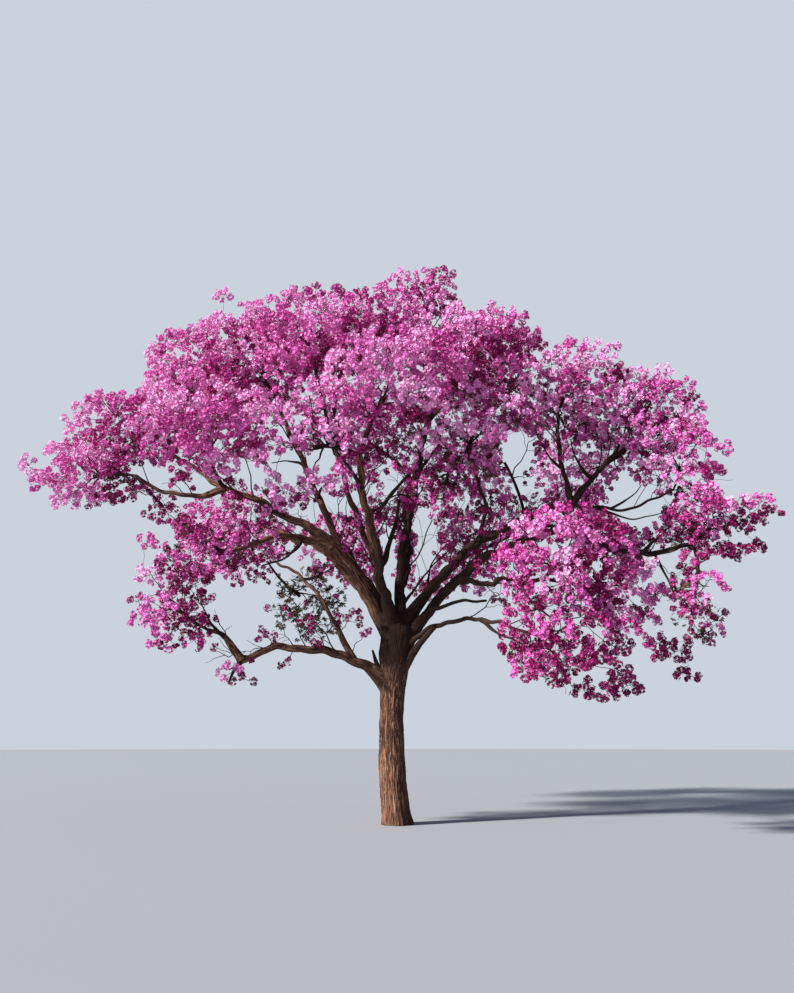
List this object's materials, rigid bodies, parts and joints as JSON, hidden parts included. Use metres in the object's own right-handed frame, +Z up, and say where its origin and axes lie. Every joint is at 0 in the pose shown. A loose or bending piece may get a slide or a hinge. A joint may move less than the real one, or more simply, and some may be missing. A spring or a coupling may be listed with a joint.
{
  "type": "pink trumpet tree",
  "caption": "Broad flowering tree: a stout trunk on a slight root flare, a wide fork of bare boughs and a domed crown of pink blossom masses that droops at both sides.",
  "frame": {"origin": "middle of the flat cut under the trunk, at ground level", "axes": "+Z up the tree, +X to the viewer's right across the widest reach of the crown, -Y towards the viewer of the side that the picture shows"},
  "size_m": [15.8136, 11.2238, 12.6466],
  "materials": {
    "bark": "rough bark with long cracks, greyish brown",
    "blossom": "soft, matt pink flowers in heads, on thin brown twigs"
  },
  "bodies": {
    "root": {"trunk": "bark", "bough_low_left": "bark", "bough_low_left_end": "bark", "bough_left_upright": "bark", "bough_left": "bark", "bough_left_mid": "bark", "bough_left_far": "bark", "bough_left_tip": "bark", "bough_left_upper": "bark", "bough_left_high": "bark", "bough_left_back": "bark", "bough_centre_left": "bark", "bough_centre_front": "bark", "bough_centre_right": "bark", "bough_back": "bark", "bough_right_back": "bark", "bough_right_high": "bark", "bough_right_top": "bark", "bough_right_out": "bark", "bough_right_thin": "bark", "bough_front_high": "bark", "bough_right": "bark", "bough_right_far": "bark", "bough_right_front": "bark", "bough_low_right": "bark", "mass_left_tip": "blossom", "mass_left_tongue": "blossom", "mass_left_shoulder": "blossom", "mass_left_dome": "blossom", "mass_left_front": "blossom", "mass_left_inner": "blossom", "mass_left_under": "blossom", "mass_left_mid": "blossom", "mass_left_low": "blossom", "mass_low_tip": "blossom", "mass_low_inner": "blossom", "mass_centre_left": "blossom", "mass_centre_upper": "blossom", "mass_centre_right": "blossom", "mass_right_mid": "blossom", "mass_front_upper_left": "blossom", "mass_front_upper_right": "blossom", "mass_top_left": "blossom", "mass_top": "blossom", "mass_right_top": "blossom", "mass_right_shoulder": "blossom", "mass_right_dome": "blossom", "mass_right_outer": "blossom", "mass_right_inner": "blossom", "mass_right_far": "blossom", "mass_right_far_low": "blossom", "mass_right_front": "blossom", "mass_right_bottom": "blossom", "mass_right_low": "blossom", "mass_back_left": "blossom", "mass_back_low": "blossom", "mass_back_high": "blossom", "mass_back_right_low": "blossom", "mass_back_right_high": "blossom", "mass_far_right_back": "blossom"}
  },
  "joints": []
}
